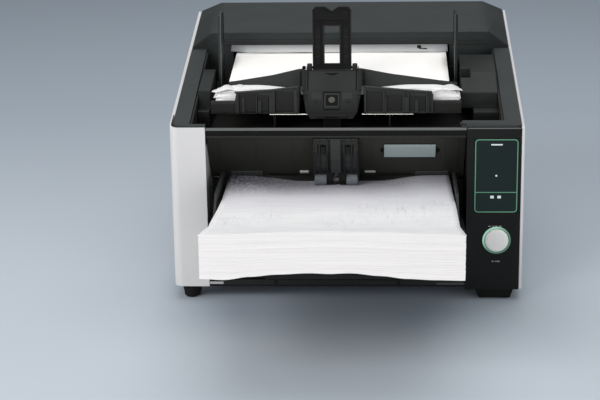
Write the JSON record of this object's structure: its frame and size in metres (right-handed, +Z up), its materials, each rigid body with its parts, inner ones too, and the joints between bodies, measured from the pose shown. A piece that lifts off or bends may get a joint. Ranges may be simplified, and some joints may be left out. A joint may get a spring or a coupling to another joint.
{
  "type": "sheet fed document scanner",
  "caption": "Desktop sheet fed document scanner with a front paper hopper, a U-turn paper path, a top output stacker, a hinged top unit and a screen with a scan button beside the feed mouth.",
  "frame": {"origin": "On the floor, under the centre of the box that holds the whole object with its loaded hopper", "axes": "+X to the operator's right, +Y from the operator to the rear of the machine, +Z up"},
  "size_m": [0.46, 0.76, 0.373],
  "materials": {
    "white_cover": "satin white-grey enamel",
    "slate_plastic": "fine-grained slate-grey moulded plastic",
    "dark_plastic": "dark grey moulded plastic",
    "black_plastic": "black moulded plastic",
    "panel_black": "smooth black plastic",
    "screen": "dark display glass",
    "ring_green": "translucent green light guide",
    "button_grey": "pale grey satin plastic",
    "lever_grey": "blue-grey plastic",
    "rubber": "black rubber",
    "roller_rubber": "grey feed rubber",
    "steel": "bright zinc-plated steel",
    "board": "green circuit board",
    "scan_glass": "clear reading glass",
    "paper": "plain office paper",
    "socket_metal": "plated connector shells"
  },
  "bodies": {
    "base": {"base_pan": "black_plastic", "foot_front_left": "rubber", "foot_front_right": "rubber", "foot_rear_left": "rubber", "foot_rear_right": "rubber", "chassis_plate_left": "steel", "chassis_plate_right": "steel", "left_side_cover": "white_cover", "right_side_cover": "white_cover", "operator_panel_housing": "panel_black", "lcd_screen": "screen", "button_light_ring": "ring_green", "front_lower_cover": "panel_black", "hopper_rear_wall": "dark_plastic", "rear_cover": "slate_plastic", "ac_inlet": "black_plastic", "interface_ports": "socket_metal", "fan_frame": "black_plastic", "main_circuit_board": "board", "power_supply": "steel", "drive_motor": "steel", "drive_belt": "rubber", "lower_reading_unit": "black_plastic", "lower_scan_glass": "scan_glass", "lower_turn_guide": "dark_plastic"},
    "scan_button": {"scan_button": "button_grey"},
    "fan_rotor": {"fan_rotor": "black_plastic"},
    "motor_pulley": {"motor_pulley": "steel"},
    "lower_feed_roller": {"lower_feed_roller": "roller_rubber"},
    "transport_roller_front": {"transport_roller_front": "roller_rubber"},
    "transport_roller_rear": {"transport_roller_rear": "roller_rubber"},
    "top_unit": {"stacker_surround": "slate_plastic", "adf_front_panel": "black_plastic", "hinge_shaft": "steel", "hood": "slate_plastic", "well_liner": "black_plastic", "left_side_block": "dark_plastic", "right_side_block": "dark_plastic", "stacker_tray": "dark_plastic", "output_paper": "paper", "upper_reading_unit": "black_plastic", "upper_scan_glass": "scan_glass", "upper_turn_guide": "dark_plastic"},
    "release_lever": {"release_lever": "lever_grey"},
    "pick_arm": {"pick_arm": "dark_plastic"},
    "pick_roller": {"pick_roller": "roller_rubber"},
    "exit_roller": {"exit_roller": "roller_rubber"},
    "stopper_carriage": {"stopper_carriage": "dark_plastic"},
    "stopper_latch": {"stopper_latch": "dark_plastic"},
    "stopper_arm": {"stopper_arm": "dark_plastic"},
    "stacker_guide_left": {"stacker_guide_left": "dark_plastic"},
    "stacker_guide_right": {"stacker_guide_right": "dark_plastic"},
    "hopper": {"hopper_tray": "dark_plastic", "hopper_paper": "paper"},
    "hopper_extension": {"hopper_extension": "dark_plastic"},
    "hopper_guide_left": {"hopper_guide_left": "dark_plastic"},
    "hopper_guide_right": {"hopper_guide_right": "dark_plastic"}
  },
  "joints": [
    {"name": "top_unit_hinge", "type": "hinge", "parent": "base", "child": "top_unit", "pos_m": [0, 0.362, 0.262], "axis": [-1, 0, 0], "range_deg": [0, 30]},
    {"name": "release_lever_tilt", "type": "hinge", "parent": "top_unit", "child": "release_lever", "pos_m": [0.082, -0.0364, 0.2106], "axis": [-1, 0, 0], "range_deg": [0, 16], "stiffness_Nm_per_rad": 0.4, "springref_deg": -17.19},
    {"name": "pick_arm_swing", "type": "hinge", "parent": "top_unit", "child": "pick_arm", "pos_m": [-0.014, -0.045, 0.216], "axis": [-1, 0, 0], "range_deg": [0, 10]},
    {"name": "pick_roller_spin", "type": "hinge", "parent": "pick_arm", "child": "pick_roller", "pos_m": [-0.014, -0.022, 0.1584], "axis": [1, 0, 0], "continuous": true},
    {"name": "exit_roller_spin", "type": "hinge", "parent": "top_unit", "child": "exit_roller", "pos_m": [0, 0.247, 0.296], "axis": [1, 0, 0], "continuous": true},
    {"name": "feed_roller_spin", "type": "hinge", "parent": "base", "child": "lower_feed_roller", "pos_m": [0, 0.066, 0.13], "axis": [1, 0, 0], "continuous": true},
    {"name": "transport_front_spin", "type": "hinge", "parent": "base", "child": "transport_roller_front", "pos_m": [0, 0.11, 0.1335], "axis": [1, 0, 0], "continuous": true},
    {"name": "transport_rear_spin", "type": "hinge", "parent": "base", "child": "transport_roller_rear", "pos_m": [0, 0.2, 0.134], "axis": [1, 0, 0], "continuous": true},
    {"name": "motor_pulley_spin", "type": "hinge", "parent": "base", "child": "motor_pulley", "pos_m": [-0.212, 0.28, 0.066], "axis": [1, 0, 0], "continuous": true},
    {"name": "fan_spin", "type": "hinge", "parent": "base", "child": "fan_rotor", "pos_m": [-0.12, 0.362, 0.106], "axis": [0, 1, 0], "continuous": true},
    {"name": "scan_button_press", "type": "slide", "parent": "base", "child": "scan_button", "axis": [0, 1, 0], "range_m": [0, 0.002], "stiffness_N_per_m": 800, "springref_m": -0.001},
    {"name": "hopper_lift", "type": "slide", "parent": "base", "child": "hopper", "axis": [0, 0, 1], "range_m": [-0.025, 0]},
    {"name": "hopper_extension_slide", "type": "slide", "parent": "hopper", "child": "hopper_extension", "axis": [0, -0.9724, 0.2334], "range_m": [0, 0.05]},
    {"name": "hopper_guide_left_slide", "type": "slide", "parent": "hopper", "child": "hopper_guide_left", "axis": [1, 0, 0], "range_m": [0, 0.095], "deforming": ["hopper_paper"]},
    {"name": "hopper_guide_right_slide", "type": "slide", "parent": "hopper", "child": "hopper_guide_right", "axis": [1, 0, 0], "range_m": [-0.095, 0]},
    {"name": "stacker_guide_left_slide", "type": "slide", "parent": "top_unit", "child": "stacker_guide_left", "axis": [1, 0, 0], "range_m": [0, 0.07], "deforming": ["output_paper"]},
    {"name": "stacker_guide_right_slide", "type": "slide", "parent": "top_unit", "child": "stacker_guide_right", "axis": [1, 0, 0], "range_m": [-0.07, 0]},
    {"name": "stopper_slide", "type": "slide", "parent": "top_unit", "child": "stopper_carriage", "axis": [0, 1, 0], "range_m": [-0.045, 0]},
    {"name": "stopper_latch_press", "type": "slide", "parent": "stopper_carriage", "child": "stopper_latch", "axis": [0, 0.7808, -0.6248], "range_m": [0, 0.002], "stiffness_N_per_m": 500, "springref_m": -0.001},
    {"name": "stopper_arm_fold", "type": "hinge", "parent": "stopper_carriage", "child": "stopper_arm", "pos_m": [-0.0205, 0.0605, 0.2905], "axis": [1, 0, 0], "range_deg": [0, 88]}
  ],
  "couplings": [
    {"joint": "hopper_guide_right_slide", "follows": "hopper_guide_left_slide", "ratio": -1},
    {"joint": "stacker_guide_right_slide", "follows": "stacker_guide_left_slide", "ratio": -1},
    {"joint": "transport_rear_spin", "follows": "feed_roller_spin", "ratio": 1},
    {"joint": "motor_pulley_spin", "follows": "feed_roller_spin", "ratio": 1}
  ]
}
